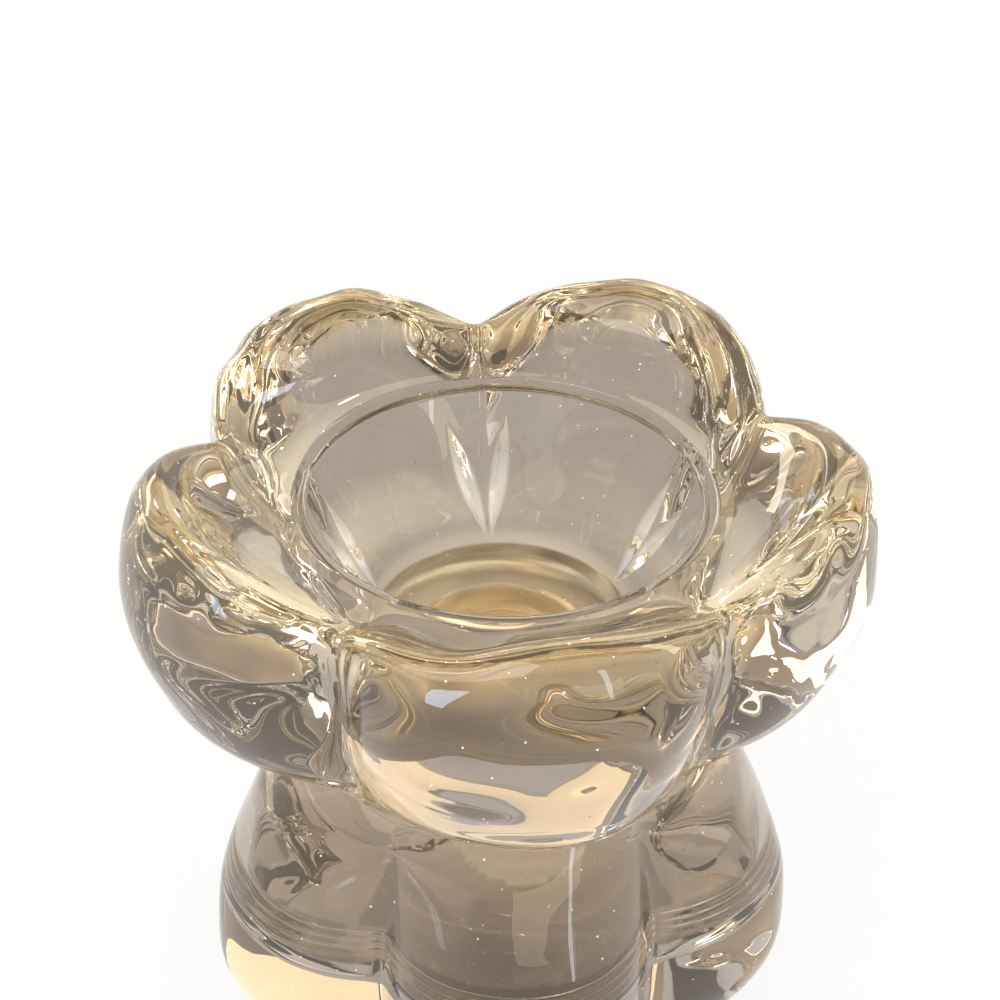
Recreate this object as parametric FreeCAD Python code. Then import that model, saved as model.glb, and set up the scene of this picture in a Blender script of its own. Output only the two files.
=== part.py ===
import FreeCAD, Part
import math
import os
from FreeCAD import Rotation, Vector

# Floating candle bowl in clear glass: a thick five-petal bowl with a round
# conical well, lifting out of the mouth of a hollow five-lobed base.
# Millimetres. The origin is the centre of the base's underside, +Z is up and
# the middle of one petal points to -Y.

# Driving sizes of the whole
lobes = 5
clearance = 0.3
overrun = 1.0

# Lobed base: height, radius in a crease and radius on a lobe, foot to neck
base_height = 60.5
foot_crease_radius = 35.0
foot_lobe_radius = 39.0
heel_height = 3.5
heel_crease_radius = 38.4
heel_lobe_radius = 45.4
low_height = 10.0
low_crease_radius = 40.2
low_lobe_radius = 50.2
belly_height = 22.0
belly_crease_radius = 41.5
belly_lobe_radius = 51.4
shoulder_height = 36.0
shoulder_crease_radius = 41.3
shoulder_lobe_radius = 48.8
collar_height = 48.0
collar_crease_radius = 38.9
collar_lobe_radius = 42.7
neck_radius = 35.0

# Hollow of the base, which follows the outside at the wall's thickness
base_wall = 4.6
base_floor_height = 20.0
base_floor_round = 5.0
mouth_radius = 27.0
mouth_depth = 8.0
mouth_lip = 1.6

# Outside of the petal bowl: height above its seat, crease and petal radius
seat_radius = 36.0
undercut_height = 4.0
undercut_crease_radius = 39.0
undercut_petal_radius = 39.4
round_height = 9.0
round_crease_radius = 42.3
round_petal_radius = 47.8
flank_height = 15.0
flank_crease_radius = 44.8
flank_petal_radius = 54.8
bulge_height = 30.0
bulge_crease_radius = 48.2
bulge_petal_radius = 60.1
brim_height = 42.0
brim_crease_radius = 48.9
brim_petal_radius = 60.0
top_height = 54.0
top_crease_radius = 48.6
top_petal_radius = 53.2

# Well and scooped petals, heights above the seat
well_floor_height = 15.3
well_floor_radius = 20.5
well_top_height = 40.0
well_top_radius = 31.9
ledge_width = 0.9
ledge_rise = 0.7
scoop_crease_radius = 39.0
scoop_crease_height = 41.5
scoop_petal_radius = 44.0
scoop_petal_height = 44.8
lip_crease_radius = 45.0
lip_crease_height = 43.1
lip_petal_radius = 50.8
lip_petal_height = 51.3
crest_width = 2.4
crest_rise = 0.8
rim_fall = 1.4
rim_reach = 5.0

# Plug under the bowl, which stands in the mouth of the base
plug_depth = 7.0
plug_draft = 0.6
recess_mouth_radius = 17.5
recess_top_radius = 14.5
recess_depth = 14.0

# Almond-shaped cuts in the wall of the well, a pair at each crease
cut_length = 17.0
cut_half_width = 1.5
cut_lift = 0.4
cut_foot_gap = 1.5
cut_foot_step = 1.8
cut_lean = 7.0

# Shape of a section: points on one lobe and how full and sharp the lobes are
lobe_points = 12
level_steps = 2
crease_softness_share = 0.16
petal_fullness_share = 0.68
base_fullness_share = 0.95


def lobe_share(angle, fullness_share):
    """1 on the middle of a lobe, 0 in a crease, smooth all the way round."""
    swing = math.cos(lobes * (angle + math.pi / 2) / 2)
    low = crease_softness_share ** fullness_share
    high = (1 + crease_softness_share ** 2) ** (fullness_share / 2)
    here = (swing ** 2 + crease_softness_share ** 2) ** (fullness_share / 2)
    return (here - low) / (high - low)


def lobed_ring(crease, lobe, fullness_share):
    """Closed smooth curve of one edge per crease; crease and lobe are radius and height."""
    edges = []
    for i in range(lobes):
        points = []
        for j in range(lobe_points + 1):
            angle = 2 * math.pi * (i + j / lobe_points) / lobes - math.pi / 2
            at = crease + (lobe - crease) * lobe_share(angle, fullness_share)
            points.append(Vector(at.x * math.cos(angle), at.x * math.sin(angle), at.y))
        curve = Part.BSplineCurve()
        curve.interpolate(points)
        edges.append(curve.toShape())
    return Part.Wire(edges)


def smooth_rings(levels, fullness_share):
    """Rings through levels of crease radius and height, lobe radius and height."""
    lines = []
    for first in (0, 2):
        points = [Vector(level[first], level[first + 1], 0) for level in levels]
        curve = Part.BSplineCurve()
        curve.interpolate(Points=points, Parameters=[float(i) for i in range(len(points))])
        count = (len(points) - 1) * level_steps
        lines.append([curve.value(i / level_steps) for i in range(count + 1)])
    return [lobed_ring(crease, lobe, fullness_share) for crease, lobe in zip(*lines)]


def ring_solid(rings):
    return Part.makeLoft(rings, True, True)


def cylinder(radius, bottom, top):
    return Part.makeCylinder(radius, top - bottom, Vector(0, 0, bottom))


def cone(low_radius, high_radius, bottom, top):
    return Part.makeCone(low_radius, high_radius, top - bottom, Vector(0, 0, bottom))


def make_base():
    outside_levels = [
        (foot_crease_radius, 0, foot_lobe_radius, 0),
        (heel_crease_radius, heel_height, heel_lobe_radius, heel_height),
        (low_crease_radius, low_height, low_lobe_radius, low_height),
        (belly_crease_radius, belly_height, belly_lobe_radius, belly_height),
        (shoulder_crease_radius, shoulder_height, shoulder_lobe_radius, shoulder_height),
        (collar_crease_radius, collar_height, collar_lobe_radius, collar_height),
        (neck_radius, base_height, neck_radius, base_height),
    ]
    hollow_bottom = base_floor_height
    hollow_side = base_floor_height + base_floor_round
    hollow_top = base_height - mouth_depth
    inset = base_wall + base_floor_round
    hollow_levels = [
        (low_crease_radius - inset, hollow_bottom, low_lobe_radius - inset, hollow_bottom),
        (belly_crease_radius - base_wall, hollow_side, belly_lobe_radius - base_wall, hollow_side),
        (
            shoulder_crease_radius - base_wall, shoulder_height - base_wall,
            shoulder_lobe_radius - base_wall, shoulder_height - base_wall,
        ),
        (
            collar_crease_radius - base_wall, collar_height - base_wall,
            collar_lobe_radius - base_wall, collar_height - base_wall,
        ),
        (mouth_radius + mouth_lip, hollow_top, mouth_radius + mouth_lip, hollow_top),
    ]
    outside = ring_solid(smooth_rings(outside_levels, base_fullness_share))
    hollow = ring_solid(smooth_rings(hollow_levels, base_fullness_share))
    mouth = cylinder(mouth_radius, hollow_top - overrun, base_height + overrun)
    return outside.cut(hollow).cut(mouth)


def petal_outside():
    levels = [
        (seat_radius, 0, seat_radius, 0),
        (undercut_crease_radius, undercut_height, undercut_petal_radius, undercut_height),
        (round_crease_radius, round_height, round_petal_radius, round_height),
        (flank_crease_radius, flank_height, flank_petal_radius, flank_height),
        (bulge_crease_radius, bulge_height, bulge_petal_radius, bulge_height),
        (brim_crease_radius, brim_height, brim_petal_radius, brim_height),
        (top_crease_radius, top_height, top_petal_radius, top_height),
    ]
    return ring_solid(smooth_rings(levels, petal_fullness_share))


def space_over_petals():
    """All that lies above the ledge, the scooped petals and their rims."""
    ledge_radius = well_top_radius + ledge_width
    ledge_height = well_top_height + ledge_rise
    crease_crest = Vector(lip_crease_radius + crest_width, lip_crease_height + crest_rise, 0)
    petal_crest = Vector(lip_petal_radius + crest_width, lip_petal_height + crest_rise, 0)
    scoop_levels = [
        (ledge_radius, ledge_height, ledge_radius, ledge_height),
        (scoop_crease_radius, scoop_crease_height, scoop_petal_radius, scoop_petal_height),
        (lip_crease_radius, lip_crease_height, lip_petal_radius, lip_petal_height),
        (crease_crest.x, crease_crest.y, petal_crest.x, petal_crest.y),
    ]
    rings = smooth_rings(scoop_levels, petal_fullness_share)
    crease_reach = max(brim_crease_radius, top_crease_radius) + rim_reach
    petal_reach = max(brim_petal_radius, top_petal_radius) + rim_reach
    crease_fall = Vector(crease_reach, crease_crest.y - rim_fall, 0)
    petal_fall = Vector(petal_reach, petal_crest.y - rim_fall, 0)
    rings.append(lobed_ring(crease_fall, petal_fall, petal_fullness_share))
    ceiling = top_height + overrun
    crease_ceiling = Vector(crease_fall.x, ceiling, 0)
    petal_ceiling = Vector(petal_fall.x, ceiling, 0)
    rings.append(lobed_ring(crease_ceiling, petal_ceiling, petal_fullness_share))
    return ring_solid(rings)


def make_cuts():
    """Pairs of spindle-shaped cutters lying on the slope of the well."""
    tip_low = Vector(-cut_length / 2, 0, 0)
    tip_high = Vector(cut_length / 2, 0, 0)
    bow = Part.Arc(tip_low, Vector(0, cut_half_width, 0), tip_high).toShape()
    half = Part.Face(Part.Wire([bow, Part.makeLine(tip_high, tip_low)]))
    spindle = half.revolve(Vector(0, 0, 0), Vector(1, 0, 0), 360)
    slope_run = well_top_radius - well_floor_radius
    slope_rise = well_top_height - well_floor_height
    cuts = []
    for i in range(lobes):
        angle = 2 * math.pi * i / lobes + math.pi / 2
        out = Vector(math.cos(angle), math.sin(angle), 0)
        across = Vector(-math.sin(angle), math.cos(angle), 0)
        uphill = (out * slope_run + Vector(0, 0, slope_rise)).normalize()
        inward = (Vector(0, 0, slope_run) - out * slope_rise).normalize()
        foot = out * well_floor_radius + Vector(0, 0, well_floor_height)
        foot = foot + uphill * cut_foot_gap + inward * cut_lift
        for side in (-1, 1):
            lean = math.radians(side * cut_lean)
            along = uphill * math.cos(lean) + across * math.sin(lean)
            low_end = foot + across * (side * cut_foot_step)
            cut = spindle.copy()
            cut.Placement = FreeCAD.Placement(
                low_end + along * (cut_length / 2), Rotation(Vector(1, 0, 0), along)
            )
            cuts.append(cut)
    return cuts


def make_petal_bowl():
    well = cone(well_floor_radius, well_top_radius, well_floor_height, well_top_height)
    throat = cylinder(well_top_radius, well_top_height, well_top_height + ledge_rise + overrun)
    plug_radius = mouth_radius - clearance
    plug = cone(plug_radius - plug_draft, plug_radius, -plug_depth, 0)
    recess_top = recess_depth - plug_depth
    recess = cone(recess_mouth_radius, recess_top_radius, -plug_depth, recess_top)
    bowl = petal_outside().cut(space_over_petals()).fuse(plug)
    bowl = bowl.cut([well, throat, recess] + make_cuts())
    bowl.translate(Vector(0, 0, base_height))
    return bowl


os.makedirs("parts", exist_ok=True)
for name, shape in {"lobed_base": make_base(), "petal_bowl": make_petal_bowl()}.items():
    shape.exportStep("parts/" + name + ".step")
    print(name, shape.isValid(), len(shape.Solids), round(shape.Volume), shape.BoundBox)
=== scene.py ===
import math

import bpy
import numpy as np
from mathutils import Matrix, Vector


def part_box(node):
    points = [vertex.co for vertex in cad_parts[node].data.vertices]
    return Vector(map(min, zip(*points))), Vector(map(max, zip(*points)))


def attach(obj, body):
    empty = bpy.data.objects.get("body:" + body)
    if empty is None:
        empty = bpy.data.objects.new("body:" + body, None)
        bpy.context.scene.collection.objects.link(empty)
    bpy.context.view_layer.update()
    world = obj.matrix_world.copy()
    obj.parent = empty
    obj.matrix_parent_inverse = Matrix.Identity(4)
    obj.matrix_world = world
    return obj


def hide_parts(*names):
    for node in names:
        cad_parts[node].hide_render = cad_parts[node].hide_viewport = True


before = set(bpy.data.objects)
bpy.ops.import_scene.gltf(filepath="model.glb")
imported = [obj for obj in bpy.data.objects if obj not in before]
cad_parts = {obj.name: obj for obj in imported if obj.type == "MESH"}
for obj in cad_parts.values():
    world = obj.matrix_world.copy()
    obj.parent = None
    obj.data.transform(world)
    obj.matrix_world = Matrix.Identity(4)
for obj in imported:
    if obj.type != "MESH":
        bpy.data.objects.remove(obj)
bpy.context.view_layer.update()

# The glass is in millimetres, the bowl's heights above its seat and the base's above its foot.
# The camera, the lamps and the floor are in metres.
MM = 0.001
LOBES = 5
SEAT_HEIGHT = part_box("lobed_base")[1].z / MM

# How the lobes swell between the creases
CREASE_SOFTNESS = 0.16
PETAL_FULLNESS = 0.68
BASE_FULLNESS = 0.78

# Smallest length that is divided by
TINY = 1e-6


def lobe_share(angle, fullness):
    """1 on the middle of a lobe, 0 in a crease, smooth all the way round."""
    swing = np.cos(LOBES * (angle + math.pi / 2) / 2)
    low = CREASE_SOFTNESS ** fullness
    high = (1 + CREASE_SOFTNESS ** 2) ** (fullness / 2)
    return ((swing ** 2 + CREASE_SOFTNESS ** 2) ** (fullness / 2) - low) / (high - low)


def crease_turn(angle):
    """Angle from the nearest crease, in radians, negative on one side."""
    step = 2 * math.pi / LOBES
    return (angle - math.pi / 2 + step / 2) % step - step / 2


def between(value, low, high):
    """0 below low, 1 above high, smooth on the way."""
    share = np.clip((value - low) / (high - low), 0, 1)
    return share * share * (3 - 2 * share)


def below(value, low, high):
    """1 below low, 0 above high, smooth on the way."""
    return 1 - between(value, low, high)


def knot_step(start, end):
    """Step of a centripetal curve, which doesn't loop where rows lie close together."""
    return max(np.linalg.norm(end - start), TINY) ** 0.5


def smooth_run(rows, spacing):
    """Rows of numbers joined by a smooth curve, resampled about spacing apart."""
    rows = np.array(rows, float)
    padded = np.vstack([2 * rows[0] - rows[1], rows, 2 * rows[-1] - rows[-2]])
    made = []
    for a, b, c, d in zip(padded, padded[1:], padded[2:], padded[3:]):
        steps = max(1, int(math.ceil(np.linalg.norm(c - b) / spacing)))
        t1 = knot_step(a, b)
        t2 = t1 + knot_step(b, c)
        t3 = t2 + knot_step(c, d)
        for i in range(steps):
            t = t1 + (t2 - t1) * i / steps
            ab = (a * (t1 - t) + b * t) / t1
            bc = (b * (t2 - t) + c * (t - t1)) / (t2 - t1)
            cd = (c * (t3 - t) + d * (t - t2)) / (t3 - t2)
            abc = (ab * (t2 - t) + bc * t) / t2
            bcd = (bc * (t3 - t) + cd * (t - t1)) / (t3 - t1)
            made.append((abc * (t2 - t) + bcd * (t - t1)) / (t2 - t1))
    made.append(rows[-1])
    return made


def profile(runs, spacing):
    """Rows along several smooth runs that meet in corners."""
    made = []
    for run in runs:
        rows = smooth_run(run, spacing)
        made.extend(rows if not made else rows[1:])
    return np.array(made)


def joined(profiles):
    """Profiles in one, each starting where the one before it ends."""
    return np.vstack([profiles[0]] + [rows[1:] for rows in profiles[1:]])


def round_rows(*points):
    """Rows for points of radius and height that are the same in a crease and on a lobe."""
    return [(radius, height, radius, height) for radius, height in points]


def make_ripples(count, shortest, longest, seed):
    """Random plane waves whose sum is a soft unevenness of about 1, in any direction."""
    rng = np.random.default_rng(seed)
    ways = rng.normal(size=(count, 3))
    ways /= np.linalg.norm(ways, axis=1)[:, None]
    lengths = rng.uniform(shortest, longest, count)
    return ways * (2 * math.pi / lengths)[:, None], rng.uniform(0, 2 * math.pi, count)


def ripple(waves, angle, radius, height):
    ways, phases = waves
    x, y = radius * np.cos(angle), radius * np.sin(angle)
    total = np.zeros_like(x)
    for way, phase in zip(ways, phases):
        total += np.sin(way[0] * x + way[1] * y + way[2] * height + phase)
    return total * math.sqrt(2 / len(phases))


# Unevenness of pressed glass: wave lengths and, below them, heights in millimetres
BROAD_RIPPLES = make_ripples(count=14, shortest=16.0, longest=34.0, seed=3)
FINE_RIPPLES = make_ripples(count=22, shortest=7.0, longest=13.0, seed=5)
WRINKLES = make_ripples(count=18, shortest=4.0, longest=8.0, seed=9)
BROAD_SIZE = 0.16
PETAL_FINE_SIZE = 0.006
RIM_FINE_SIZE = 0.13
WRINKLE_SIZE = 0.06
BASE_FINE_SIZE = 0.03
# Share of the ripples that also moves the rims up and down
BROAD_RISE = 0.5
FINE_RISE = 0.6


def lobed_skin(name, rows, fullness, around, lift, shape, frost_and_painted_light):
    """Closed mesh of rings, one for each row of crease and lobe radius and height."""
    angles = np.arange(around) * 2 * math.pi / around - math.pi
    share = lobe_share(angles, fullness)[None, :]
    radius = rows[:, 0:1] + (rows[:, 2:3] - rows[:, 0:1]) * share
    height = rows[:, 1:2] + (rows[:, 3:4] - rows[:, 1:2]) * share
    across = np.broadcast_to(angles[None, :], radius.shape)
    looks = frost_and_painted_light(across, radius, height)
    radius, height = shape(across, radius, height)
    x = radius * np.cos(angles)[None, :]
    y = radius * np.sin(angles)[None, :]
    z = height + lift
    verts = np.stack([x, y, z], -1).reshape(-1, 3) * MM
    rings = len(rows)
    faces = []
    for i in range(rings - 1):
        low, high = i * around, (i + 1) * around
        for j in range(around):
            k = (j + 1) % around
            faces.append((low + j, low + k, high + k, high + j))
    faces.append(tuple(range(around - 1, -1, -1)))
    faces.append(tuple((rings - 1) * around + j for j in range(around)))
    mesh = bpy.data.meshes.new(name)
    mesh.from_pydata([tuple(v) for v in verts], [], faces)
    for look, values in looks.items():
        layer = mesh.attributes.new(look, "FLOAT", "POINT")
        layer.data.foreach_set("value", values.reshape(-1).astype(np.float32))
    mesh.shade_smooth()
    piece = bpy.data.objects.new(name, mesh)
    bpy.context.scene.collection.objects.link(piece)
    return piece


# Petal bowl, from the recess under it round the outside and down into the well.
# A row has the radius and height in a crease, then those on a lobe.
RECESS_TOP = round_rows((2, 6.2), (7.6, 6.3), (8.6, 6.9), (14.2, 7.0))
RECESS_ROUND = round_rows((14.2, 7.0), (14.9, 6.4))
RECESS_WALL = round_rows((14.9, 6.4), (17.3, -6.4))
PLUG_FOOT = round_rows((17.3, -6.4), (18.0, -7.0), (25.4, -7.0), (26.1, -6.3))
PLUG_SIDE = round_rows((26.1, -6.3), (26.7, 0))
SEAT_RUN = round_rows((26.7, 0), (35.6, 0))
OUTSIDE = [
    (35.6, 0.0, 35.6, 0.0),
    (38.6, 2.6, 38.6, 3.4),
    (40.9, 6.0, 42.6, 6.8),
    (42.8, 9.8, 48.6, 9.5),
    (44.6, 14.4, 54.0, 14.2),
    (46.4, 20.0, 57.3, 21.0),
    (48.2, 30.0, 60.1, 30.0),
    (48.9, 38.0, 60.3, 39.6),
    (48.7, 41.6, 58.8, 46.8),
    (47.9, 43.3, 56.2, 50.9),
    (46.5, 43.9, 53.6, 52.3),
    (45.0, 43.4, 51.0, 51.6),
    (42.2, 42.2, 48.0, 48.4),
    (38.8, 41.5, 43.8, 44.7),
    (35.6, 41.0, 37.8, 41.9),
    (33.7, 40.85, 33.7, 41.0),
]
LEDGE = [OUTSIDE[-1]] + round_rows(
    (33.35, 39.6), (32.9, 39.0), (32.45, 39.5), (32.2, 40.5), (31.8, 40.4), (31.5, 39.3)
)
WELL_WALL = [(31.5, 39.3, 31.5, 39.3), (26.2, 27.8, 26.8, 27.6), (21.4, 17.1, 21.4, 17.1)]
WELL_CORNER = round_rows((21.4, 17.1), (20.4, 15.75), (18.6, 15.3))
WELL_BOTTOM = round_rows((18.6, 15.3), (2, 15.3))

# Fineness of the bowl's mesh: points round a ring, and millimetres between rings
BOWL_AROUND = 720
UNDERSIDE_SPACING = 1.8
OUTSIDE_SPACING = 0.95
LEDGE_SPACING = 0.28
WALL_SPACING = 0.25
CORNER_SPACING = 0.2
BOTTOM_SPACING = 1.2

# Height of the rims: in a crease, and how much more on a petal
CREST_HEIGHT = 43.9
CREST_RISE = 8.4

# Slope of the well that the cuts lie in
SLOPE_TOP = 39.6
SLOPE_FOOT = 15.6
SLOPE_RUN = 31.5 - 20.9
SLOPE_REACH = 31.6
# Direction square to it, outward and downward
SQUARE_OUT = 0.92
SQUARE_DOWN = 0.38

# Almond-shaped cuts in the well's wall, a pair at each crease
CUT_LENGTH = 21.5
CUT_HALF_WIDTH = 1.8
CUT_DEPTH = 2.6
CUT_ROUNDING = 1.5
CUT_FOOT_STEP = 0.4
CUT_START = 0.8
# Lean of the two blades of each pair in degrees, back crease first, anticlockwise
CUT_LEANS = ((-9.0, 17.0), (3.0, 21.0), (-11.0, 11.0), (-11.0, 11.0), (-21.0, -3.0))
# Fine streaks along the cuts: share of the depth, and width
CUT_STREAK = 0.13
CUT_STREAK_WIDTH = 0.8

# Soft groove in the well's wall above each pair of cuts
GROOVE_DEPTH = 0.35
GROOVE_WIDTH = 1.1
GROOVE_REACH = 33.5
GROOVE_START = (22.0, 30.0)
GROOVE_END = (40.3, 40.9)

# How far each petal stands out of the regular flower, front one first, anticlockwise
PETAL_UNEVENNESS = (0.0, -0.6, -0.2, -1.2, 1.8)
# How strongly each petal's rim is rippled, in the same order
PETAL_RIPPLE = (0.35, 0.9, 1.0, 1.1, 0.7)
# How narrow the middle of a petal is that both act on
PETAL_NARROWING = 6

# Shallow dip in the front petal's rim, left of its middle
RIM_DIP = 2.6
RIM_DIP_ANGLE = -105.0
RIM_DIP_SPREAD = 10.0
RIM_DIP_RADII = (36.0, 48.0)
RIM_DIP_HEIGHTS = (30.0, 50.0)

# Where the bowl is uneven: its outside, its rims, and the wrinkles under the petals
OUTER_RADII = (38.0, 50.0)
OUTER_HEIGHTS = (4.0, 12.0)
RIM_RADII = (44.0, 50.0)
RIM_DEPTHS = (9.0, 2.0)
UNDER_RADII = (38.5, 41.0)
UNDER_START = (0.5, 3.0)
UNDER_END = (9.0, 15.0)


def cut_share(angle, radius, height):
    """1 along the bottom of a cut in the slope of the well, 0 at its edges and outside."""
    slope = math.hypot(SLOPE_TOP - SLOPE_FOOT, SLOPE_RUN)
    up = (height - SLOPE_FOOT) / (SLOPE_TOP - SLOPE_FOOT) * slope
    share = np.zeros_like(height)
    for i in range(LOBES):
        middle = 2 * math.pi * i / LOBES + math.pi / 2
        turn = (angle - middle + math.pi) % (2 * math.pi) - math.pi
        for way, degrees in zip((-1, 1), CUT_LEANS[i]):
            lean = math.radians(degrees)
            side = turn * radius - way * CUT_FOOT_STEP
            along = (up - CUT_START) * math.cos(lean) + side * math.sin(lean)
            across = side * math.cos(lean) - (up - CUT_START) * math.sin(lean)
            run = 2 * along / CUT_LENGTH - 1
            width = CUT_HALF_WIDTH * np.clip(1 - run ** 2, TINY, 1)
            cut = np.clip(1 - np.abs(across) / width, 0, None) ** CUT_ROUNDING
            cut = cut * np.sqrt(width / CUT_HALF_WIDTH)
            cut = cut * (1 + CUT_STREAK * np.cos(2 * math.pi * across / CUT_STREAK_WIDTH))
            share = np.maximum(share, np.where(np.abs(run) < 1, cut, 0))
    inside = (height > SLOPE_FOOT) & (height < SLOPE_TOP) & (radius < SLOPE_REACH)
    return np.where(inside, share, 0)


def carve_cuts(angle, radius, height):
    """Presses the cuts into the slope of the well, square to it."""
    depth = CUT_DEPTH * cut_share(angle, radius, height)
    return radius + depth * SQUARE_OUT, height - depth * SQUARE_DOWN


def carve_grooves(angle, radius, height):
    side = crease_turn(angle) * radius / GROOVE_WIDTH
    groove = np.exp(-side ** 2) * (radius < GROOVE_REACH)
    groove = groove * between(height, *GROOVE_START) * below(height, *GROOVE_END)
    return radius + GROOVE_DEPTH * groove


def sink_rim(angle, radius, height):
    """Lowers the rim in the shallow dip."""
    turn = (angle - math.radians(RIM_DIP_ANGLE)) / math.radians(RIM_DIP_SPREAD)
    dip = np.exp(-turn ** 2)
    return height - RIM_DIP * dip * between(radius, *RIM_DIP_RADII) * between(height, *RIM_DIP_HEIGHTS)


def rim_share(angle, radius, height, radii, depths):
    """0 inside and below the rim of the flower, 1 on it; depths are below the crest."""
    crest = CREST_HEIGHT + CREST_RISE * lobe_share(angle, PETAL_FULLNESS)
    return between(height, crest - depths[0], crest - depths[1]) * between(radius, *radii)


def bowl_shape(angle, radius, height):
    outer = between(radius, *OUTER_RADII) * between(height, *OUTER_HEIGHTS)
    stand_out = np.zeros_like(radius)
    rippled = np.zeros_like(radius)
    for i in range(LOBES):
        turn = angle - (2 * math.pi * i / LOBES - math.pi / 2)
        near = np.clip(np.cos(turn), 0, 1) ** PETAL_NARROWING
        stand_out += PETAL_UNEVENNESS[i] * near
        rippled += PETAL_RIPPLE[i] * near
    radius, height = carve_cuts(angle, radius, height)
    radius = carve_grooves(angle, radius, height)
    height = sink_rim(angle, radius, height)
    rim = rim_share(angle, radius, height, RIM_RADII, RIM_DEPTHS)
    under = between(radius, *UNDER_RADII) * below(height, *UNDER_END) * between(height, *UNDER_START)
    broad = ripple(BROAD_RIPPLES, angle, radius, height) * outer * BROAD_SIZE
    fine_size = (PETAL_FINE_SIZE + RIM_FINE_SIZE * rim * rippled) * outer
    fine = ripple(FINE_RIPPLES, angle, radius, height) * fine_size
    fine = fine + ripple(WRINKLES, angle, radius, height) * WRINKLE_SIZE * under
    moved = stand_out * outer + broad + fine
    return radius + moved, height + (BROAD_RISE * broad + FINE_RISE * fine) * rim


# Painted warm light on the bowl's glass, a golden tint standing in for warm light that the glass
# refracts: how much, and the radii and heights where that starts and ends
RIM_PAINTED_LIGHT_RADII = (40.0, 45.0)
RIM_PAINTED_LIGHT_DEPTHS = (8.0, 2.0)
UNDER_PAINTED_LIGHT = 0.9
UNDER_PAINTED_LIGHT_RADII = (40.0, 44.0)
UNDER_PAINTED_LIGHT_HEIGHTS = (9.0, 16.0)
PLUG_PAINTED_LIGHT = 0.25
PLUG_PAINTED_LIGHT_RADII = (27.5, 29.0)
PLUG_PAINTED_LIGHT_HEIGHTS = (7.5, 8.0)
WELL_FLOOR_PAINTED_LIGHT = 0.62
WELL_FLOOR_PAINTED_LIGHT_RADII = (21.0, 23.0)
WELL_FLOOR_PAINTED_LIGHT_HEIGHTS = (16.5, 19.0)
SEAT_PAINTED_LIGHT = 0.12
SEAT_PAINTED_LIGHT_HEIGHTS = (0.1, 1.0)
# Side of the flower, right of the back, where the underside gets less painted warm light
CALM_ANGLE = 60.0
CALM_SHARE = 0.8

# The cuts get a painted near-white highlight below these heights and painted warm light above them
CUT_GAIN = 5
CUT_TIPS = (25.0, 34.0)
CUT_TIP_LOSS = 0.85

# Frosted floor of the well, a little clearer in its middle
FROST_MIDDLE = 0.55
FROST_MIDDLE_RADII = (17.5, 19.5)
FROST_RADII = (21.0, 23.5)
FROST_START = (15.0, 15.2)
FROST_END = (16.5, 20.5)


def bowl_frost_and_painted_light(angle, radius, height):
    """Where warm light is painted on the glass, where it is frosted and where a highlight is painted
    on the cuts.
    """
    rim = rim_share(angle, radius, height, RIM_PAINTED_LIGHT_RADII, RIM_PAINTED_LIGHT_DEPTHS)
    calm = np.clip(np.cos(angle - math.radians(CALM_ANGLE)), 0, 1) ** 2
    under = between(radius, *UNDER_PAINTED_LIGHT_RADII) * below(height, *UNDER_PAINTED_LIGHT_HEIGHTS)
    under = under * (1 - CALM_SHARE * calm)
    plug = PLUG_PAINTED_LIGHT * below(radius, *PLUG_PAINTED_LIGHT_RADII) * below(height, *PLUG_PAINTED_LIGHT_HEIGHTS)
    floor = WELL_FLOOR_PAINTED_LIGHT * below(radius, *WELL_FLOOR_PAINTED_LIGHT_RADII) * below(height, *WELL_FLOOR_PAINTED_LIGHT_HEIGHTS)
    seat = SEAT_PAINTED_LIGHT * below(height, *SEAT_PAINTED_LIGHT_HEIGHTS)
    # Painted highlight: the cuts are tinted near white below their tips, standing in for lamps
    # reflected in their facets
    cuts = np.clip(CUT_GAIN * cut_share(angle, radius, height), 0, 1)
    tips = between(height, *CUT_TIPS)
    # Painted warm light: a golden tint on rims, undersides, plug, seat, well floor and cut tips,
    # standing in for warm light refracted and reflected by the glass
    gold = np.clip(rim + UNDER_PAINTED_LIGHT * under + plug + floor + seat + cuts * tips, 0, 1)
    frost = FROST_MIDDLE + (1 - FROST_MIDDLE) * between(radius, *FROST_MIDDLE_RADII)
    frost = frost * below(radius, *FROST_RADII)
    frost = frost * between(height, *FROST_START) * below(height, *FROST_END)
    return {"gold": gold, "frost": frost, "bright": cuts * (1 - CUT_TIP_LOSS * tips)}


def make_bowl():
    underside = [RECESS_TOP, RECESS_ROUND, RECESS_WALL, PLUG_FOOT, PLUG_SIDE, SEAT_RUN]
    rows = joined([
        profile(underside, UNDERSIDE_SPACING),
        profile([OUTSIDE], OUTSIDE_SPACING),
        profile([LEDGE], LEDGE_SPACING),
        profile([WELL_WALL], WALL_SPACING),
        profile([WELL_CORNER], CORNER_SPACING),
        profile([WELL_BOTTOM], BOTTOM_SPACING),
    ])
    return lobed_skin(
        "petal_bowl_glass", rows, PETAL_FULLNESS, BOWL_AROUND, SEAT_HEIGHT, bowl_shape, bowl_frost_and_painted_light
    )


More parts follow.
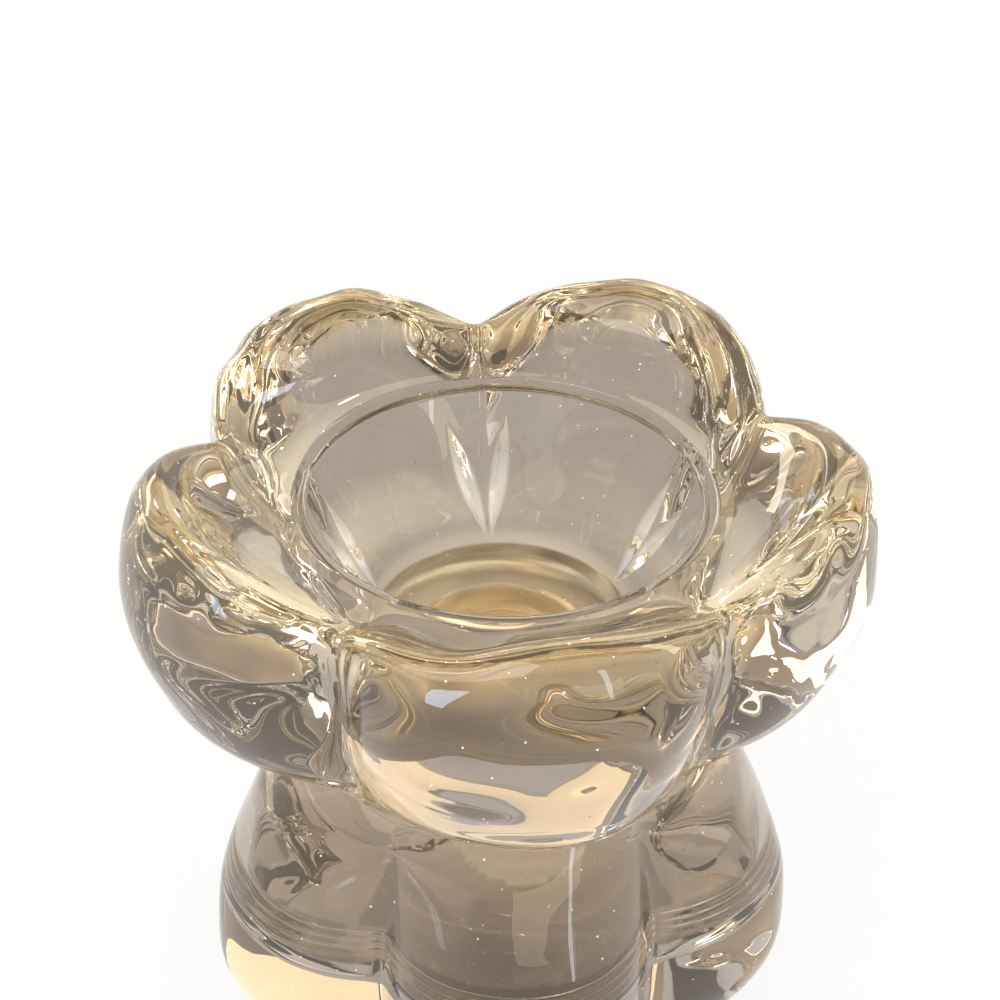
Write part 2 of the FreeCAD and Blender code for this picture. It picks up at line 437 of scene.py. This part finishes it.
# Lobed base, in rows like the bowl's, from its foot up the outside and down into the hollow
BASE_UNDER = [(3, 0, 3, 0), (33.4, 0, 37.2, 0)]
BASE_OUTSIDE = [
    (33.4, 0, 37.2, 0),
    (35.4, 0.5, 40.6, 0.7),
    (37.6, 2.6, 44.6, 3.0),
    (38.2, 6.6, 48.6, 7.2),
    (39.2, 13.0, 51.2, 13.6),
    (39.7, 22.0, 51.4, 22.0),
    (39.2, 33.0, 49.6, 33.0),
    (37.4, 43.0, 45.4, 43.0),
    (35.2, 51.6, 40.8, 51.6),
    (34.9, 57.0, 37.2, 57.2),
    (34.9, 59.7, 35.0, 59.7),
]
BASE_RIM = [BASE_OUTSIDE[-1]] + round_rows((34.4, 60.35), (33.7, 60.5))
BASE_SEAT = round_rows((33.7, 60.5), (28.0, 60.5), (27.2, 60.1))
BASE_MOUTH = round_rows((27.2, 60.1), (27.0, 59.0), (27.0, 53.4))
BASE_HOLLOW = [
    (27.0, 53.4, 27.0, 53.4),
    (28.6, 52.2, 29.0, 52.2),
    (31.8, 48.4, 33.6, 48.6),
    (33.6, 42.4, 39.4, 42.6),
    (35.0, 34.0, 44.2, 34.2),
    (35.0, 27.6, 46.0, 27.8),
    (33.4, 22.8, 44.2, 23.0),
    (31.4, 20.4, 39.6, 20.6),
    (26.0, 20.0, 32.0, 20.0),
]
BASE_FLOOR = [BASE_HOLLOW[-1]] + round_rows((2, 20.0))

# Fineness of the base's mesh: the hollow has all its rings near the ridges, one in three elsewhere
BASE_AROUND = 480
BASE_SPACING = 1.0
HOLLOW_SPACING = 0.4
HOLLOW_THINNING = 3

# Fine moulded ridges round the wall of the hollow
RIDGE_HEIGHTS = (29.4, 31.0, 32.6)
RIDGE_WIDTH = 0.5
RIDGE_DEPTH = 1.2
RIDGE_RADII = (30.0, 33.0)
RIDGE_ROOM = 3.5
# Radius that parts the hollow's wall from the outside: in a crease, and how much more on a lobe
WALL_RADIUS = 37.3
WALL_RISE = 9.9

# Where the outside of the base is uneven
BASE_UNEVEN_RADII = (30.0, 36.0)
BASE_UNEVEN_START = (0.0, 4.0)
BASE_UNEVEN_END = (50.0, 58.0)

# Painted warm light on the base's glass, a golden tint standing in for refracted warm light: the neck,
# the hollow and all but the front
NECK_PAINTED_LIGHT = 0.4
NECK_PAINTED_LIGHT_HEIGHTS = (50.0, 58.0)
HOLLOW_PAINTED_LIGHT = 0.4
HOLLOW_PAINTED_LIGHT_FOOT = 19.9
SIDE_PAINTED_LIGHT = 0.32
SIDE_NARROWING = 3
# Middle of the wall: in a crease, how much more on a lobe, and its slope from the belly's height
MIDWALL_RADIUS = 36.0
MIDWALL_RISE = 9.0
MIDWALL_SLOPE = 0.225
BELLY_HEIGHT = 30.0


def base_shape(angle, radius, height):
    free = between(radius, *BASE_UNEVEN_RADII)
    free = free * below(height, *BASE_UNEVEN_END) * between(height, *BASE_UNEVEN_START)
    broad = ripple(BROAD_RIPPLES, angle, radius, height) * BROAD_SIZE
    fine = ripple(FINE_RIPPLES, angle, radius, height) * BASE_FINE_SIZE
    within = radius < WALL_RADIUS + WALL_RISE * lobe_share(angle, BASE_FULLNESS)
    for ridge_height in RIDGE_HEIGHTS:
        ridge = np.exp(-((height - ridge_height) / RIDGE_WIDTH) ** 2)
        radius = radius - RIDGE_DEPTH * ridge * within * between(radius, *RIDGE_RADII)
    return radius + (broad + fine) * free, height


def base_frost_and_painted_light(angle, radius, height):
    wall = MIDWALL_RISE * lobe_share(angle, BASE_FULLNESS) + MIDWALL_RADIUS
    wall = wall - MIDWALL_SLOPE * np.abs(height - BELLY_HEIGHT)
    hollow = (height > HOLLOW_PAINTED_LIGHT_FOOT) & (radius < wall)
    front = np.clip(-np.sin(angle), 0, 1) ** SIDE_NARROWING
    neck = between(height, *NECK_PAINTED_LIGHT_HEIGHTS)
    # Painted warm light: golden tint on the neck, the hollow and the sides away from the front
    gold = np.clip(NECK_PAINTED_LIGHT * neck + HOLLOW_PAINTED_LIGHT * hollow + SIDE_PAINTED_LIGHT * (1 - front), 0, 1)
    plain = np.zeros_like(radius)
    return {"gold": gold, "frost": plain, "bright": plain}


def make_base():
    hollow = profile([BASE_HOLLOW], HOLLOW_SPACING)
    ridged = np.abs(hollow[:, 1] - RIDGE_HEIGHTS[1]) < RIDGE_ROOM
    kept = ridged | (np.arange(len(hollow)) % HOLLOW_THINNING == 0)
    kept[-1] = True
    rows = joined([
        profile([BASE_UNDER, BASE_OUTSIDE, BASE_RIM, BASE_SEAT, BASE_MOUTH], BASE_SPACING),
        hollow[kept],
        profile([BASE_FLOOR], BASE_SPACING),
    ])
    return lobed_skin(
        "lobed_base_glass", rows, BASE_FULLNESS, BASE_AROUND, 0.0, base_shape, base_frost_and_painted_light
    )


def mix_value(nodes, links, share, low, high):
    """low where share is 0, high where it is 1: numbers, colours or sockets of colour."""
    kind = "Float" if isinstance(low, float) else "Color"
    mix = nodes.new("ShaderNodeMix")
    mix.data_type = "FLOAT" if kind == "Float" else "RGBA"
    sockets = {socket.identifier: socket for socket in list(mix.inputs) + list(mix.outputs)}
    for end, value in (("A_", low), ("B_", high)):
        if isinstance(value, bpy.types.NodeSocket):
            links.new(value, sockets[end + kind])
        else:
            sockets[end + kind].default_value = (*value, 1) if kind == "Color" else value
    links.new(share, sockets["Factor_Float"])
    return sockets["Result_" + kind]


def mix_shader(nodes, links, share, first, second):
    """first where share is 0, second where it is 1."""
    mix = nodes.new("ShaderNodeMixShader")
    links.new(share, mix.inputs["Fac"])
    links.new(first.outputs[0], mix.inputs[1])
    links.new(second.outputs[0], mix.inputs[2])
    return mix.outputs[0]


def above(nodes, links, value, limit):
    """1 where a socket's value is above a limit, otherwise 0."""
    step = nodes.new("ShaderNodeMath")
    step.operation = "GREATER_THAN"
    step.inputs[1].default_value = limit
    links.new(value, step.inputs[0])
    return step.outputs[0]


def greater(nodes, links, first, second):
    """The greater value of two sockets."""
    math_node = nodes.new("ShaderNodeMath")
    math_node.operation = "MAXIMUM"
    links.new(first, math_node.inputs[0])
    links.new(second, math_node.inputs[1])
    return math_node.outputs[0]


def spread(nodes, links, value, low, high):
    """A socket's value brought from the range low to high to 0 to 1."""
    ramp = nodes.new("ShaderNodeMapRange")
    ramp.inputs["From Min"].default_value = low
    ramp.inputs["From Max"].default_value = high
    links.new(value, ramp.inputs["Value"])
    return ramp.outputs["Result"]


def seen_share(nodes, links):
    """1 for what the camera sees directly, mirrored or through glass, otherwise 0."""
    path = nodes.new("ShaderNodeLightPath")
    mirrored = greater(nodes, links, path.outputs["Is Camera Ray"], path.outputs["Is Glossy Ray"])
    return greater(nodes, links, mirrored, path.outputs["Is Transmission Ray"])


WHITE = (1.0, 1.0, 1.0)

# Clear glass: colour, colour of the painted warm light, roughness where frosted, glow of deep
# reflections; also the near-white colour of the painted highlight on the cuts
GLASS_INDEX = 1.52
CUT_PAINTED_HIGHLIGHT = (1.0, 0.97, 0.91)
BOWL_COLOUR = (0.395, 0.34, 0.285)
BOWL_PAINTED_WARM_LIGHT = (1.0, 0.84, 0.55)
BOWL_FROST = 0.42
BOWL_GLOW = 0.23
BASE_COLOUR = (0.27, 0.225, 0.19)
BASE_PAINTED_WARM_LIGHT = (1.0, 0.90, 0.75)
BASE_FROST = 0.3
BASE_GLOW = 0.18
# Light of the reflections inside thick glass that come after the last one traced
DEEP_REFLECTIONS = 4
DEEP_GLOW = (0.40, 0.35, 0.28)
# Painted glints: white diffuse specks in the skin of the glass, standing in for small glints; cells to
# a metre, and size as a share of a cell
PAINTED_GLINT_SCALE = 300.0
PAINTED_GLINT_SIZE = 0.056


def glass(name, colour, painted_warm_colour, frosted, deep_glow):
    mat = bpy.data.materials.new(name)
    mat.use_nodes = True
    mat.cycles.emission_sampling = "NONE"
    nodes, links = mat.node_tree.nodes, mat.node_tree.links
    shader = nodes["Principled BSDF"]
    shader.inputs["IOR"].default_value = GLASS_INDEX
    shares = {}
    for look in ("gold", "frost", "bright"):
        attribute = nodes.new("ShaderNodeAttribute")
        attribute.attribute_name = look
        shares[look] = attribute.outputs["Fac"]
    # Painted light in the base colour: the warm-light and highlight masks mix golden and near-white
    # colour into the glass's own tint
    tint_and_painted_light = mix_value(nodes, links, shares["gold"], colour, painted_warm_colour)
    tint_and_painted_light = mix_value(nodes, links, shares["bright"], tint_and_painted_light, CUT_PAINTED_HIGHLIGHT)
    roughness = mix_value(nodes, links, shares["frost"], 0.0, frosted)
    links.new(roughness, shader.inputs["Roughness"])
    # Painted glints: white diffuse dots where the glass is not transmissive
    place = nodes.new("ShaderNodeTexCoord")
    cells = nodes.new("ShaderNodeTexVoronoi")
    cells.inputs["Scale"].default_value = PAINTED_GLINT_SCALE
    links.new(place.outputs["Object"], cells.inputs["Vector"])
    clear = above(nodes, links, cells.outputs["Distance"], PAINTED_GLINT_SIZE)
    links.new(mix_value(nodes, links, clear, WHITE, tint_and_painted_light), shader.inputs["Base Color"])
    links.new(clear, shader.inputs["Transmission Weight"])
    path = nodes.new("ShaderNodeLightPath")
    deep = above(nodes, links, path.outputs["Glossy Depth"], DEEP_REFLECTIONS - 0.5)
    shader.inputs["Emission Color"].default_value = (*DEEP_GLOW, 1)
    links.new(mix_value(nodes, links, deep, 0.0, deep_glow), shader.inputs["Emission Strength"])
    return mat


# Surroundings: light on everything, and what is seen, by how far aside and how high a ray points
WORLD_LIGHT = 0.55
CEILING_LEFT = (0.86, 0.70, 0.48)
CEILING_RIGHT = (0.60, 0.56, 0.52)
ZENITH = (0.38, 0.30, 0.21)
CEILING_ASIDE = (-0.5, 0.5)
CEILING_RISE = (0.12, 0.45)
ZENITH_RISE = (0.55, 0.95)


def make_world():
    """Even soft light; what is seen of it is a white backdrop under a darker ceiling."""
    world = bpy.data.worlds.new("studio")
    bpy.context.scene.world = world
    world.use_nodes = True
    nodes, links = world.node_tree.nodes, world.node_tree.links
    nodes.clear()
    output = nodes.new("ShaderNodeOutputWorld")
    light = nodes.new("ShaderNodeBackground")
    light.inputs["Color"].default_value = (*WHITE, 1)
    light.inputs["Strength"].default_value = WORLD_LIGHT
    place = nodes.new("ShaderNodeTexCoord")
    split = nodes.new("ShaderNodeSeparateXYZ")
    links.new(place.outputs["Generated"], split.inputs[0])
    aside = spread(nodes, links, split.outputs["X"], *CEILING_ASIDE)
    rise = spread(nodes, links, split.outputs["Z"], *CEILING_RISE)
    high = spread(nodes, links, split.outputs["Z"], *ZENITH_RISE)
    ceiling = mix_value(nodes, links, aside, CEILING_LEFT, CEILING_RIGHT)
    ceiling = mix_value(nodes, links, high, ceiling, ZENITH)
    seen = nodes.new("ShaderNodeBackground")
    seen.inputs["Strength"].default_value = 1.0
    links.new(mix_value(nodes, links, rise, WHITE, ceiling), seen.inputs["Color"])
    mixed = mix_shader(nodes, links, seen_share(nodes, links), light, seen)
    links.new(mixed, output.inputs["Surface"])


# Pale floor: half its side, how far it lies below the foot, its finish and how white it is seen
FLOOR_HALF = 3
FLOOR_DROP = 0.0002
FLOOR_COLOUR = (0.86, 0.86, 0.85)
FLOOR_ROUGHNESS = 0.8
FLOOR_WHITE = 0.88


def make_floor():
    """Pale floor, mostly white to the eye, that keeps the object's shadow."""
    half = FLOOR_HALF
    corners = [(-half, -half, 0), (half, -half, 0), (half, half, 0), (-half, half, 0)]
    mesh = bpy.data.meshes.new("floor")
    mesh.from_pydata(corners, [], [(0, 1, 2, 3)])
    floor = bpy.data.objects.new("floor", mesh)
    bpy.context.scene.collection.objects.link(floor)
    floor.location.z = -FLOOR_DROP
    mat = bpy.data.materials.new("floor")
    mat.use_nodes = True
    nodes, links = mat.node_tree.nodes, mat.node_tree.links
    shader = nodes["Principled BSDF"]
    shader.inputs["Base Color"].default_value = (*FLOOR_COLOUR, 1)
    shader.inputs["Roughness"].default_value = FLOOR_ROUGHNESS
    white = nodes.new("ShaderNodeEmission")
    white.inputs["Color"].default_value = (*WHITE, 1)
    white.inputs["Strength"].default_value = 1.0
    part = nodes.new("ShaderNodeMath")
    part.operation = "MULTIPLY"
    part.inputs[1].default_value = FLOOR_WHITE
    links.new(seen_share(nodes, links), part.inputs[0])
    mixed = mix_shader(nodes, links, part.outputs[0], shader, white)
    links.new(mixed, nodes["Material Output"].inputs["Surface"])
    floor.data.materials.append(mat)


# Photograph's camera: turned about the middle of the well's floor, in degrees and metres
CAMERA_AZIMUTH = -6.96
CAMERA_ELEVATION = 38.2
CAMERA_DISTANCE = 0.366
CAMERA_ROLL = 1.09
PIVOT_HEIGHT = 0.076
AIM_HEIGHT = 0.0995
AIM_SIDE = -0.0007
# Lens and sensor are in millimetres
CAMERA_LENS = 79.17
CAMERA_SENSOR = 36.0
CAMERA_NEAREST = 0.01


def make_camera():
    azimuth, elevation = math.radians(CAMERA_AZIMUTH), math.radians(CAMERA_ELEVATION)
    back = Vector((
        math.sin(azimuth) * math.cos(elevation),
        -math.cos(azimuth) * math.cos(elevation),
        math.sin(elevation),
    ))
    data = bpy.data.cameras.new("camera")
    data.sensor_width = CAMERA_SENSOR
    data.lens = CAMERA_LENS
    data.clip_start = CAMERA_NEAREST
    camera = bpy.data.objects.new("camera", data)
    bpy.context.scene.collection.objects.link(camera)
    camera.location = Vector((0, 0, PIVOT_HEIGHT)) + back * CAMERA_DISTANCE
    look = Vector((AIM_SIDE, 0, AIM_HEIGHT)) - camera.location
    roll = Matrix.Rotation(math.radians(CAMERA_ROLL), 3, "Z")
    turn = look.to_track_quat("-Z", "Y").to_matrix() @ roll
    camera.rotation_mode = "QUATERNION"
    camera.rotation_quaternion = turn.to_quaternion()
    bpy.context.scene.camera = camera


# Lamps, all aimed at the object: name, place, width and height, watts and colour
LAMP_AIM = (0, 0, 0.07)
LAMPS = (
    ("key", (-0.70, -0.50, 1.00), (0.90, 0.60), 5.1, (1.0, 0.97, 0.92)),
    ("warm_back", (0.40, 0.80, 0.73), (0.95, 0.62), 3.5, (1.0, 0.86, 0.57)),
    ("pane_left", (-0.45, 0.85, 0.62), (0.10, 0.16), 0.45, (0.50, 0.70, 1.0)),
    ("pane_right", (0.85, 0.35, 0.85), (0.10, 0.20), 0.55, (0.50, 0.70, 1.0)),
    ("low_warm", (0.30, -0.90, 0.22), (0.90, 0.18), 0.95, (1.0, 0.82, 0.55)),
    ("back_strip", (-0.50, 0.80, 0.35), (0.70, 0.12), 1.6, (1.0, 0.88, 0.66)),
    ("right_strip", (0.95, 0.05, 0.45), (0.14, 0.60), 1.4, (1.0, 0.90, 0.72)),
    ("strip_left", (-0.80, -0.62, 0.30), (0.10, 0.34), 1.0, (0.55, 0.73, 1.0)),
    ("strip_right", (0.62, -0.85, 0.30), (0.05, 0.60), 0.55, (0.80, 0.88, 1.0)),
)

# Small lamps all round for glints: rise in degrees, distance and size in metres, watts
SPARKLES = 16
SPARKLE_SEED = 11
SPARKLE_RISE = (25, 75)
SPARKLE_REACH = (0.8, 1.0)
SPARKLE_SIZE = 0.014
SPARKLE_POWER = 0.12
SPARKLE_COLOUR = (1.0, 0.95, 0.85)


def area_lamp(name, place, size, power, colour):
    data = bpy.data.lights.new(name, "AREA")
    data.shape = "RECTANGLE"
    data.size, data.size_y = size
    data.energy = power
    data.color = colour
    lamp = bpy.data.objects.new(name, data)
    bpy.context.scene.collection.objects.link(lamp)
    lamp.location = place
    lamp.rotation_mode = "QUATERNION"
    lamp.rotation_quaternion = (Vector(LAMP_AIM) - Vector(place)).to_track_quat("-Z", "Y")


def make_lamps():
    for lamp in LAMPS:
        area_lamp(*lamp)
    rng = np.random.default_rng(SPARKLE_SEED)
    size = (SPARKLE_SIZE, SPARKLE_SIZE)
    for i in range(SPARKLES):
        turn = rng.uniform(0, 2 * math.pi)
        rise = math.radians(rng.uniform(*SPARKLE_RISE))
        reach = rng.uniform(*SPARKLE_REACH)
        level = reach * math.cos(rise)
        place = (level * math.cos(turn), level * math.sin(turn), reach * math.sin(rise))
        area_lamp("sparkle_" + str(i), place, size, SPARKLE_POWER, SPARKLE_COLOUR)


bowl = make_bowl()
base = make_base()
bowl_glass = glass("bowl_glass_clear", BOWL_COLOUR, BOWL_PAINTED_WARM_LIGHT, BOWL_FROST, BOWL_GLOW)
base_glass = glass("base_glass_clear", BASE_COLOUR, BASE_PAINTED_WARM_LIGHT, BASE_FROST, BASE_GLOW)
bowl.data.materials.append(bowl_glass)
base.data.materials.append(base_glass)
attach(bowl, "bowl")
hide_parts("petal_bowl")
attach(base, "base")
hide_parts("lobed_base")

make_world()
make_lamps()
make_floor()
make_camera()

bpy.context.scene.view_settings.view_transform = "Standard"
bpy.context.view_layer.update()
